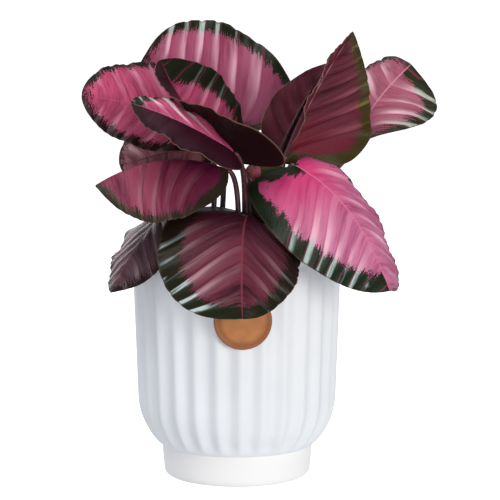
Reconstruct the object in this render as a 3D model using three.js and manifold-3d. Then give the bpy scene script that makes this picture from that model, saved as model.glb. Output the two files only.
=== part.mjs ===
// A potted pink star calathea: a fluted white ceramic pot with a round leather tag, the soil that fills it,
// and thirteen leaves, each one piece with its stem. Millimetres, +Z up, and the front looks along -Y.
// The origin is the centre of the pot's flat underside.
import * as THREE from "three";
import Module from "manifold-3d";

const wasm = await Module();
wasm.setup();
const { Manifold, Mesh: SolidMesh } = wasm;

const GAP = 0.3; // left between pieces that touch

// The pot
const FOOT_RADIUS = 48.5;
const FOOT_EDGE = 5; // rounding under the foot
const FOOT_TOP = 20.8; // where the plain foot meets the fluted body
const BODY_START = 50.2; // body radius just above the foot
const BELLY_RADIUS = 65.7; // where the curved lower body ends
const BELLY_HEIGHT = 54;
const BELLY_CURVE = 43.3; // radius of the curve between foot and belly
const RIM_RADIUS = 69.2;
const RIM_HEIGHT = 150;
const WALL = 4.6;
const FLOOR_HEIGHT = 13;
const FLUTES = 28;
const FLUTE_DEPTH = 2.4; // from the crest of a flute to the groove beside it
const FLUTE_TURN = THREE.MathUtils.degToRad(2.2); // how far the front flute's crest is turned to +X
const STEPS_PER_FLUTE = 4;

// The soil
const SOIL_HEIGHT = 138;
const SOIL_LUMPS = 1.6;
const STEM_SINK = 16; // how deep a stem stands in its hole
const HOLE_SIDES = 8;
const HOLE_RISE = 11; // how far the column cut out for a stem stands over the soil

// The leather tag
const TAG_RADIUS = 18.5;
const TAG_THICKNESS = 2.2;
const TAG_EDGE = 0.6;
const TAG_HEIGHT = 113;
const TAG_TURN = THREE.MathUtils.degToRad(3.4);

// The leaves
const BLADE = 0.8; // thickness of a leaf
const ROWS = 15; // rows of the blade's grid from base to tip
const ACROSS = [-1, -0.72, -0.42, -0.16, 0, 0.16, 0.42, 0.72, 1]; // left margin, midrib, right margin
const SWEEP = 0.8; // how far a side vein leans towards the tip
const STEM_RADIUS = 2;
const NECK_RADIUS = 1.6; // where the stem meets the blade
const RIB_END_RADIUS = 0.6;
const RIB_REACH = 0.7; // share of the midrib that stands out under the blade
const STEM_SIDES = 6;
const STEM_STEPS = 8;
const RIB_STEPS = 4;
const NECK_REACH = 0.16; // share of the stem that bends into the midrib

// One entry a leaf. base and tip are the ends of the midrib, bend is how far the midrib's middle lies off the
// straight line between them, and face points away from the upper side. Seen from that side with the tip up,
// each of left and right has the half's width, full, which says how bluntly the half begins and ends, where
// smaller is blunter, its fold towards the viewer at the base and at the tip and its further curl towards the
// margin, in degrees, and lobe, how far it reaches back behind the base. root is where the stem enters the soil.
const LEAVES = {
  leaf_back_top: {
    base: [11, 37, 224.5], tip: [-67.2, 58, 267], bend: [3, 6, -1], face: [0.1, -1, 0.3],
    left: { width: 42, full: [0.38, 0.42], fold: [0, 0], curl: -10, lobe: 6 },
    right: { width: 57, full: [0.36, 0.34], fold: [2, 6], curl: -10, lobe: 38 },
    root: [14, 10], wave: 1.8,
  },
  leaf_far_left: {
    base: [-16, 12, 230], tip: [-101, -6, 252], bend: [0, 0, 2], face: [0.1, -1, 0.9],
    left: { width: 33, full: [0.5, 0.5], fold: [10, 10], curl: -25, lobe: 0 },
    right: { width: 38, full: [0.5, 0.56], fold: [10, 10], curl: -22, lobe: 0 },
    root: [-11, 2], wave: 1.6,
  },
  leaf_upper_folded: {
    base: [1, -10, 208], tip: [-50, -1, 274.6], bend: [-4, 0, -4], face: [0.76, -0.25, 0.62],
    left: { width: 42, full: [0.42, 0.68], fold: [76, -14], curl: 0, lobe: 66 },
    right: { width: 48, full: [0.45, 0.6], fold: [6, 40], curl: 0, lobe: 10 },
    root: [8, -9], wave: 1.4,
  },
  leaf_centre_left: {
    base: [-2, -37, 217.9], tip: [-66.5, -58, 250], bend: [0, 0, 3], face: [0.43, -0.2, 0.88],
    left: { width: 34, full: [0.36, 0.4], fold: [-8, -8], curl: -2, lobe: 22 },
    right: { width: 23, full: [0.8, 0.7], fold: [8, 8], curl: 2, lobe: 0 },
    root: [4.5, -15.5], wave: 1.4,
  },
  leaf_upright_right: {
    base: [31, 5, 206.5], tip: [77, 28, 292], bend: [-5, 0, -1.5], face: [0.25, -1, 0.1],
    left: { width: 32, full: [0.5, 0.7], fold: [82, 68], curl: 0, lobe: 4 },
    right: { width: 49.5, full: [0.6, 0.86], fold: [0, 0], curl: -12, lobe: -2 },
    root: [23, -2], wave: 1.6,
  },
  leaf_dark_back: {
    base: [28, 25, 211], tip: [61, 30, 271.2], bend: [-2, 0, 0], face: [0.25, 0.95, 0.1],
    left: { width: 27, full: [0.5, 0.68], fold: [10, 10], curl: 0, lobe: 0 },
    right: { width: 22, full: [0.5, 0.9], fold: [10, 10], curl: 0, lobe: 0 },
    root: [18, 12], wave: 1.6,
  },
  leaf_far_right: {
    base: [76, 34, 212], tip: [118, 60, 269], bend: [-5, 0, 1], face: [0.1, -1, 0.3],
    left: { width: 27, full: [0.6, 0.35], fold: [-32, -32], curl: 0, lobe: 0 },
    right: { width: 36, full: [1.25, 0.32], fold: [0, 0], curl: -10, lobe: -10 },
    root: [29, 7], wave: 1.6,
  },
  leaf_front_right: {
    base: [38, -15, 207], tip: [96, -80, 134], bend: [5, -6, 10], face: [0.1, -0.8, 0.6],
    left: { width: 22, full: [0.18, 0.15], fold: [6, -36], curl: -30, lobe: 12 },
    right: { width: 49, full: [0.36, 0.5], fold: [0, 0], curl: -14, lobe: 46 },
    root: [21, -12], wave: 1.2,
  },
  leaf_front: {
    base: [8, -25, 176], tip: [4, -104, 120], bend: [-2, -6, 16], face: [0, -0.6, 0.8],
    left: { width: 41, full: [0.6, 0.5], fold: [-18, -18], curl: -16, lobe: 6 },
    right: { width: 53.5, full: [0.5, 0.35], fold: [14, -2], curl: -12, lobe: 14 },
    root: [10, -19], wave: 1.6,
  },
  leaf_left_hanging: {
    base: [-6, -24, 205], tip: [-89, -58, 198], bend: [0, -2, 11], face: [-0.2, -0.75, 0.7],
    left: { width: 46, full: [0.58, 0.34], fold: [0, 0], curl: -20, lobe: 18 },
    right: { width: 36, full: [0.42, 0.5], fold: [-60, -60], curl: -20, lobe: 0 },
    root: [1, -20], wave: 2,
  },
  leaf_left_back: {
    base: [-21, 7.5, 215.5], tip: [-76, -8, 205], bend: [0, 0, 3], face: [0.1, -1, 0.4],
    left: { width: 32, full: [0.5, 0.45], fold: [0, 0], curl: -10, lobe: 0 },
    right: { width: 25, full: [0.5, 0.6], fold: [0, 0], curl: -10, lobe: 0 },
    root: [-17, -3], wave: 1.6,
  },
  leaf_low_left: {
    base: [-41, -12, 183], tip: [-80, -55, 129], bend: [-2, -3, 3], face: [-1, -0.6, 0.5],
    left: { width: 27, full: [1.1, 1.0], fold: [18, -52], curl: -10, lobe: 0 },
    right: { width: 34, full: [0.28, 0.75], fold: [0, 0], curl: -10, lobe: 10 },
    root: [-15, -12], wave: 1.6,
  },
  leaf_small_crown: {
    base: [15, -2, 167], tip: [15, -5, 207.5], bend: [1, 0, 0], face: [-0.2, -1, 0.2],
    left: { width: 11, full: [0.4, 0.2], fold: [0, 0], curl: 0, lobe: 0 },
    right: { width: 17, full: [0.6, 0.22], fold: [0, 0], curl: 0, lobe: 0 },
    root: [14, 0], wave: 0.6,
  },
};

// Solids from points and triangles

function solidFrom(points, triangles) {
  const solid = new Manifold(
    new SolidMesh({
      numProp: 3,
      vertProperties: new Float32Array(points.flatMap((p) => [p.x, p.y, p.z])),
      triVerts: new Uint32Array(triangles.flat()),
    }),
  );
  if (solid.volume() > 0) return solid;
  return solidFrom(points, triangles.map(([a, b, c]) => [a, c, b]));
}

function geometryFrom(solid) {
  const mesh = solid.getMesh();
  const geometry = new THREE.BufferGeometry();
  geometry.setAttribute("position", new THREE.BufferAttribute(mesh.vertProperties, 3));
  geometry.setIndex(new THREE.BufferAttribute(mesh.triVerts, 1));
  geometry.computeVertexNormals();
  return geometry;
}

// Rings of equal length, joined in order and closed by a point at each end.
function closedRings(first, rings, last) {
  const count = rings[0].length;
  const points = [first, ...rings.flat(), last];
  const at = (ring, k) => 1 + ring * count + (k % count);
  const triangles = [];
  for (let k = 0; k < count; k++) {
    triangles.push([0, at(0, k + 1), at(0, k)]);
    triangles.push([points.length - 1, at(rings.length - 1, k), at(rings.length - 1, k + 1)]);
    for (let ring = 0; ring + 1 < rings.length; ring++) {
      triangles.push([at(ring, k), at(ring, k + 1), at(ring + 1, k + 1)]);
      triangles.push([at(ring, k), at(ring + 1, k + 1), at(ring + 1, k)]);
    }
  }
  return solidFrom(points, triangles);
}

// Pot, soil and tag

// Radius of the pot's outside along the crests of its flutes.
function crestRadius(z) {
  if (z >= BELLY_HEIGHT) {
    return THREE.MathUtils.mapLinear(z, BELLY_HEIGHT, RIM_HEIGHT, BELLY_RADIUS, RIM_RADIUS);
  }
  const rise = BELLY_HEIGHT - z;
  return BELLY_RADIUS - BELLY_CURVE + Math.sqrt(BELLY_CURVE ** 2 - rise ** 2);
}

// The flutes fade out at the foot and just below the rim.
function fluteShare(z) {
  const low = THREE.MathUtils.smoothstep(z, FOOT_TOP + 0.5, FOOT_TOP + 8);
  const high = 1 - THREE.MathUtils.smoothstep(z, RIM_HEIGHT - 5, RIM_HEIGHT - 1.5);
  return low * high;
}

function innerRadius(z) {
  return crestRadius(Math.max(z, FOOT_TOP + 4)) - WALL;
}

function ring(radius, z, steps, groove = 0) {
  const points = [];
  for (let k = 0; k < steps; k++) {
    const turn = FLUTE_TURN + (2 * Math.PI * k) / steps;
    const wave = (1 - Math.cos(FLUTES * (turn - FLUTE_TURN))) / 2;
    const r = radius - groove * wave;
    points.push(new THREE.Vector3(r * Math.sin(turn), -r * Math.cos(turn), z));
  }
  return points;
}

function potSolid() {
  const steps = FLUTES * STEPS_PER_FLUTE;
  const rings = [];
  for (const part of [0, 0.5, 1]) {
    const turn = (part * Math.PI) / 2;
    const r = FOOT_RADIUS - FOOT_EDGE * (1 - Math.sin(turn));
    rings.push(ring(r, FOOT_EDGE * (1 - Math.cos(turn)), steps));
  }
  rings.push(ring(FOOT_RADIUS + 1.2, FOOT_TOP, steps));
  rings.push(ring(BODY_START, FOOT_TOP + 0.5, steps));
  for (const z of [25, 31, 41, BELLY_HEIGHT, RIM_HEIGHT - 5, RIM_HEIGHT - 1.6]) {
    rings.push(ring(crestRadius(z), z, steps, FLUTE_DEPTH * fluteShare(z)));
  }
  rings.push(ring(RIM_RADIUS - 1.4, RIM_HEIGHT, steps));
  rings.push(ring(innerRadius(RIM_HEIGHT) + 1.4, RIM_HEIGHT, steps));
  rings.push(ring(innerRadius(RIM_HEIGHT), RIM_HEIGHT - 1.6, steps));
  for (const z of [BELLY_HEIGHT, 36]) {
    rings.push(ring(innerRadius(z), z, steps));
  }
  rings.push(ring(FOOT_RADIUS - WALL, FLOOR_HEIGHT + 2, steps));
  rings.push(ring(FOOT_RADIUS - WALL - 2, FLOOR_HEIGHT, steps));
  return closedRings(new THREE.Vector3(0, 0, 0), rings, new THREE.Vector3(0, 0, FLOOR_HEIGHT));
}

// Height of the soil, from a few crossing waves.
function soilTop(x, y) {
  const coarse = Math.sin(x * 0.17 + 1.3) * Math.cos(y * 0.15 - 0.4);
  const fine = Math.sin(x * 0.43 - y * 0.31) * Math.cos(y * 0.39 + 0.8);
  return SOIL_HEIGHT + SOIL_LUMPS * (0.6 * coarse + 0.4 * fine);
}

// What a stem's plain hole takes out of the soil: a straight column that stands well over its top.
function stemHole([x, y]) {
  const foot = new THREE.Vector3(x, y, SOIL_HEIGHT - STEM_SINK - GAP);
  const top = new THREE.Vector3(x, y, SOIL_HEIGHT + HOLE_RISE);
  const levels = [foot, top].map((end) => ring(STEM_RADIUS + GAP, 0, HOLE_SIDES).map((p) => p.add(end)));
  return closedRings(foot, levels, top);
}

function soilSolid() {
  const steps = 36;
  const clear = GAP + 0.15; // the soil's straight sides stay clear of the pot's
  const rings = [];
  const floor = FLOOR_HEIGHT + GAP;
  rings.push(ring(FOOT_RADIUS - WALL - 2 - clear, floor, steps));
  rings.push(ring(FOOT_RADIUS - WALL - clear, floor + 2, steps));
  for (const z of [36, BELLY_HEIGHT, SOIL_HEIGHT - 3]) {
    rings.push(ring(innerRadius(z) - clear, z, steps));
  }
  const top = innerRadius(SOIL_HEIGHT) - clear;
  for (const share of [0.97, 0.76, 0.54, 0.32, 0.12]) {
    rings.push(ring(top * share, 0, steps).map((p) => p.setZ(soilTop(p.x, p.y))));
  }
  const centre = new THREE.Vector3(0, 0, soilTop(0, 0));
  let soil = closedRings(new THREE.Vector3(0, 0, floor), rings, centre);
  for (const { root } of Object.values(LEAVES)) {
    soil = soil.subtract(stemHole(root));
  }
  return soil;
}

// A thick leather disc with softened edges. It stands on the crest of the front flute, square to the wall.
function tagMesh(material) {
  const outline = [
    [0, 0],
    [TAG_RADIUS - TAG_EDGE, 0],
    [TAG_RADIUS, TAG_EDGE],
    [TAG_RADIUS, TAG_THICKNESS - TAG_EDGE],
    [TAG_RADIUS - TAG_EDGE, TAG_THICKNESS],
    [0, TAG_THICKNESS],
  ];
  const lathe = new THREE.LatheGeometry(outline.map(([x, y]) => new THREE.Vector2(x, y)), 40);
  const mesh = new THREE.Mesh(lathe, material);
  mesh.name = "leather_tag";
  const flare = Math.atan2(RIM_RADIUS - BELLY_RADIUS, RIM_HEIGHT - BELLY_HEIGHT);
  mesh.rotation.x = Math.PI + flare;
  const seat = crestRadius(TAG_HEIGHT) + GAP;
  const place = new THREE.Group();
  place.rotation.z = TAG_TURN;
  mesh.position.set(0, -seat, TAG_HEIGHT);
  place.add(mesh);
  return place;
}

// Leaves

const vector = (list) => new THREE.Vector3(...list);

// Share of a half's full width at s, from 0 at the base to 1 at the tip.
function outline(s, [start, end]) {
  if (s <= 0 || s >= 1) return 0;
  const widest = start / (start + end);
  const most = widest ** start * (1 - widest) ** end;
  return (s ** start * (1 - s) ** end) / most;
}

function midribOf(leaf) {
  const base = vector(leaf.base);
  const tip = vector(leaf.tip);
  const control = base.clone().add(tip).multiplyScalar(0.5).addScaledVector(vector(leaf.bend), 2);
  return new THREE.QuadraticBezierCurve3(base, control, tip);
}

// Along the midrib, out of the upper side and to the right of it.
function axesAt(leaf, midrib, s) {
  const along = midrib.getTangent(s);
  const out = vector(leaf.face).addScaledVector(along, -vector(leaf.face).dot(along)).normalize();
  return { along, out, right: new THREE.Vector3().crossVectors(along, out) };
}

// A point of the blade's middle surface: u says which side vein it is on, and t how far across, from -1 at the
// left margin to 1 at the right one.
function bladePoint(leaf, midrib, number, u, t) {
  const across = Math.abs(t);
  const side = Math.sign(t);
  const half = t > 0 ? leaf.right : leaf.left;
  const s = Math.min(1, u + SWEEP * u * (1 - u) * across ** 1.4);
  const { along, out, right } = axesAt(leaf, midrib, s);
  const share = outline(s, half.full);
  const width = half.width * share;
  const fold = THREE.MathUtils.degToRad(THREE.MathUtils.lerp(half.fold[0], half.fold[1], s));
  const curl = THREE.MathUtils.degToRad(half.curl || 0.01);
  const lean = fold + curl * across;
  const sideways = (width * (Math.sin(lean) - Math.sin(fold))) / curl;
  const outwards = (width * (Math.cos(fold) - Math.cos(lean))) / curl;
  const ripple = Math.sin(2 * Math.PI * (3 * s + 0.37 * number + (t > 0 ? 0.3 : 0)));
  const wave = leaf.wave * across ** 3 * share * ripple;
  return midrib
    .getPoint(s)
    .addScaledVector(right, side * (sideways - wave * Math.sin(lean)))
    .addScaledVector(out, outwards + wave * Math.cos(lean))
    .addScaledVector(along, -half.lobe * across * share * (1 - s) ** 5);
}

function bladeSolid(leaf, midrib, number) {
  const rows = [];
  for (let k = 0; k <= ROWS; k++) {
    const u = (1 - Math.cos((Math.PI * k) / ROWS)) / 2;
    rows.push(ACROSS.map((t) => bladePoint(leaf, midrib, number, u, t)));
  }
  const last = ACROSS.length - 1;
  const normalAt = (k, j) => {
    const up = rows[Math.min(k + 1, ROWS)][j].clone().sub(rows[Math.max(k - 1, 0)][j]);
    const over = rows[k][Math.min(j + 1, last)].clone().sub(rows[k][Math.max(j - 1, 0)]);
    return over.cross(up).normalize();
  };
  const offset = (k, j, way) => rows[k][j].clone().addScaledVector(normalAt(k, j), (way * BLADE) / 2);
  const points = [];
  const triangles = [];
  const index = {};
  const { out: outAtBase } = axesAt(leaf, midrib, 0);
  const { out: outAtTip } = axesAt(leaf, midrib, 1);
  for (const way of [1, -1]) {
    index[way] = rows.map((row, k) => {
      if (k === 0 || k === ROWS) {
        const end = row[4].clone().addScaledVector(k === 0 ? outAtBase : outAtTip, (way * BLADE) / 2);
        points.push(end);
        return ACROSS.map(() => points.length - 1);
      }
      return ACROSS.map((t, j) => {
        points.push(offset(k, j, way));
        return points.length - 1;
      });
    });
  }
  const add = (a, b, c) => {
    if (a !== b && b !== c && c !== a) triangles.push([a, b, c]);
  };
  for (let k = 0; k < ROWS; k++) {
    for (let j = 0; j < last; j++) {
      for (const way of [1, -1]) {
        const face = index[way];
        const [a, b, c, d] = [face[k][j], face[k + 1][j], face[k + 1][j + 1], face[k][j + 1]];
        // Both faces are split along the same diagonal.
        if (way > 0) {
          add(a, c, b);
          add(a, d, c);
        } else {
          add(a, b, c);
          add(a, c, d);
        }
      }
    }
    for (const j of [0, last]) {
      const [a, b] = [index[1][k][j], index[1][k + 1][j]];
      const [c, d] = [index[-1][k][j], index[-1][k + 1][j]];
      if (j === 0) {
        add(a, b, d);
        add(a, d, c);
      } else {
        add(a, d, b);
        add(a, c, d);
      }
    }
  }
  return solidFrom(points, triangles);
}

// The stem rises from the soil, turns into the midrib, and runs on under the blade as a tapering rib.
function stemSolid(leaf, midrib) {
  const foot = new THREE.Vector3(...leaf.root, SOIL_HEIGHT - STEM_SINK);
  const ground = new THREE.Vector3(...leaf.root, SOIL_HEIGHT + 2);
  const base = vector(leaf.base);
  const reach = base.distanceTo(ground);
  const rise = new THREE.CubicBezierCurve3(
    ground,
    ground.clone().add(new THREE.Vector3(0, 0, reach * 0.45)),
    base.clone().addScaledVector(midrib.getTangent(0), -reach * NECK_REACH),
    base,
  );
  const path = [foot];
  const radii = [STEM_RADIUS];
  for (let k = 0; k < STEM_STEPS; k++) {
    path.push(rise.getPoint(k / STEM_STEPS));
    radii.push(THREE.MathUtils.lerp(STEM_RADIUS, NECK_RADIUS, k / STEM_STEPS));
  }
  for (let k = 0; k <= RIB_STEPS; k++) {
    const s = (RIB_REACH * k) / RIB_STEPS;
    const radius = THREE.MathUtils.lerp(NECK_RADIUS, RIB_END_RADIUS, k / RIB_STEPS);
    path.push(midrib.getPoint(s).addScaledVector(axesAt(leaf, midrib, s).out, -0.6 * radius));
    radii.push(radius);
  }
  const rings = [];
  let side = new THREE.Vector3(1, 0, 0);
  path.forEach((centre, k) => {
    const before = path[Math.max(k - 1, 0)];
    const after = path[Math.min(k + 1, path.length - 1)];
    const along = after.clone().sub(before).normalize();
    side = side.addScaledVector(along, -side.dot(along)).normalize();
    const over = along.clone().cross(side);
    const points = [];
    for (let j = 0; j < STEM_SIDES; j++) {
      const turn = (2 * Math.PI * j) / STEM_SIDES;
      const point = centre.clone().addScaledVector(side, radii[k] * Math.cos(turn));
      points.push(point.addScaledVector(over, radii[k] * Math.sin(turn)));
    }
    rings.push(points);
  });
  return closedRings(path[0].clone(), rings, path[path.length - 1].clone());
}

function leafSolid(leaf, number) {
  const midrib = midribOf(leaf);
  return bladeSolid(leaf, midrib, number).add(stemSolid(leaf, midrib));
}

// Materials and scene graph

const ceramic = new THREE.MeshStandardMaterial({ color: "#f1f2f3", roughness: 0.45, metalness: 0 });
const earth = new THREE.MeshStandardMaterial({ color: "#3a2a20", roughness: 1, metalness: 0 });
const leather = new THREE.MeshStandardMaterial({ color: "#c07a45", roughness: 0.6, metalness: 0 });

function leafMaterial(name) {
  const shaded = ["leaf_dark_back", "leaf_left_back", "leaf_low_left"].includes(name);
  return new THREE.MeshStandardMaterial({ color: shaded ? "#5a3242" : "#b0476f", roughness: 0.4, metalness: 0 });
}

function named(name, solid, material) {
  const mesh = new THREE.Mesh(geometryFrom(solid), material);
  mesh.name = name;
  return mesh;
}

const plant = new THREE.Group();
plant.add(named("pot", potSolid(), ceramic));
plant.add(named("soil", soilSolid(), earth));
plant.add(tagMesh(leather));
Object.entries(LEAVES).forEach(([name, leaf], number) => {
  plant.add(named(name, leafSolid(leaf, number), leafMaterial(name)));
});

export default plant;
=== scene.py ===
"""A potted pink star calathea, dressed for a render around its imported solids.

The pot, the soil, the tag and the thirteen leaves are modelled finely over the plain solids of the same
names. Lengths in the constants and tables are millimetres, as in the part's own source, and the stage is in
metres, as all is in Blender. The file is laid out as an add-on and is run as a script.
"""

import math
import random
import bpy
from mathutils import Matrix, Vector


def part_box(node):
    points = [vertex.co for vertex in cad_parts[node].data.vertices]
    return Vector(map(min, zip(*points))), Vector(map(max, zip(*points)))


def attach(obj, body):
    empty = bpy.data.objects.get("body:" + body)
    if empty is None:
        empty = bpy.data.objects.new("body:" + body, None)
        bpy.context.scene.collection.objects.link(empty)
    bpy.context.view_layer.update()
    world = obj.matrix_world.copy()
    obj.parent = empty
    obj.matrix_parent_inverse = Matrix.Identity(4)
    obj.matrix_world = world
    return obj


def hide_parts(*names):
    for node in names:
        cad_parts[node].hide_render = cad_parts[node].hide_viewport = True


bl_info = {
    "name": "Potted Pink Star Calathea",
    "version": (1, 0, 0),
    "blender": (4, 5, 0),
    "location": "View3D > Sidebar > Calathea",
    "description": "Models a calathea with pink leaves in a fluted ceramic pot, and the stage around it",
    "category": "Add Mesh",
}

import bmesh
import bpy
import numpy as np
from mathutils import Matrix, Vector

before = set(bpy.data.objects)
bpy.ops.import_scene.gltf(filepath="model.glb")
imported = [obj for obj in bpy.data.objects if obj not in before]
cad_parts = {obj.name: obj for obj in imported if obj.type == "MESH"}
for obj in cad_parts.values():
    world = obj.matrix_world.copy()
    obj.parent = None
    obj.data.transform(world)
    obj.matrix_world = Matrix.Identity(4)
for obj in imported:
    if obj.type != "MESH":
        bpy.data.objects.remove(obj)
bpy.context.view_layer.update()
MM = 0.001
TINY = 1e-6

# The camera, as the photograph was taken
CAMERA_PLACE = (0.0086, -1.5, 0.339)
CAMERA_PITCH = 7.2
CAMERA_LENS = 165

# A Mix node's two colours and its result, which share their names with its other sockets
COLOUR_A = 6
COLOUR_B = 7
MIXED = 2
# How a material's nodes are laid out
NODES_IN_A_ROW = 9
NODE_SPACING = (220, 260)

# The pot's profile, as its solid has it
FOOT_RADIUS = 48.5
FOOT_EDGE = 5
FOOT_TOP = 20.8
BELLY_RADIUS = 65.7
BELLY_HEIGHT = 54
BELLY_CURVE = 43.3
WALL = 4.6
FLOOR_HEIGHT = 13
FLUTE_TURN = math.radians(2.2)
# Below 1, it makes the grooves wider than the crests
FLUTE_WIDTH = 0.85
STEPS_PER_FLUTE = 16
FOOT_STEPS = 5

# The soil's height and lumps, as its solid has them, then its clods, the depth of the block that is modelled,
# and its loose bits
SOIL_HEIGHT = 138
SOIL_LUMPS = 1.6
CLODS = 0.9
SOIL_BLOCK = 16
SOIL_STEPS = 110
BIT_RADIUS = 1.1
BIT_ROUGHNESS = 0.25
STALK_CLEARANCE = 4

# The tag's softened edge and its distance from the crests behind it
TAG_BEVEL = 0.6
TAG_GAP = 0.3
# Rings inset in its face, each with how far it lifts what lies inside: the border, the slopes and the floor
# of the stamped groove, and those that part the middle
TAG_RINGS = ((1.8, 0), (0.22, -0.18), (0.3, 0), (0.22, 0.18), (3, 0), (3, 0), (3, 0), (2, 0))
# How far in from the edge the burnishing fades, and the stamped groove lies
BURNISHED = (0.2, 1.2)
STAMPED = (2.3, 3.2)
STAMPED_TONE = 0.6

# The blades, as the solids have them: how far their rows sweep towards the tip and how they arch, the ripples
# of the margin, and the curl in degrees that stands for none
SWEEP = 0.8
ARCH = 1.4
WAVES = 3
LEAST_CURL = 0.01
# What the fine blades have besides: a crimp of the margin as a share of its wave, a groove along the midrib,
# notches of the margin as shares of the width, and more rows and columns
CRIMP = 0.32
CRIMPS_A_VEIN = 2.1
GROOVE_DEPTH = 0.25
GROOVE_WIDTH = 1.6
NOTCH = 0.022
NOTCH_CHANGE = 0.012
ACROSS_STEPS = 56
ALONG_STEPS = 100
CROWDING = 0.12
ON_RIM = 0.999
# Painted shade: the dark maroons that each half's shade mixes over the upper side and the underside
PAINTED_SHADE_MAROON = "#280a15"
PAINTED_SHADE_UNDERSIDE = "#1c080c"
UPPER_RIM = "#3f2f24"
UNDER_RIM = "#75584a"

# The stalks: how deep they stand in the soil and how far they rise straight from it, how stiffly they leave
# the ground and meet the blade, how far they run on under it as a rib, and how thick they are
STEM_SINK = 16
GROUND_RISE = 2
ROOT_REACH = 0.45
NECK_REACH = 0.16
RIB_REACH = 0.7
STALK_RADIUS = 2.0
NECK_RADIUS = 1.6
RIB_END_RADIUS = 0.6
RIB_GAP = 0.35
STALK_STEPS = 14
RIB_STEPS = 10
STALK_ROUNDNESS = 3
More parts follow.
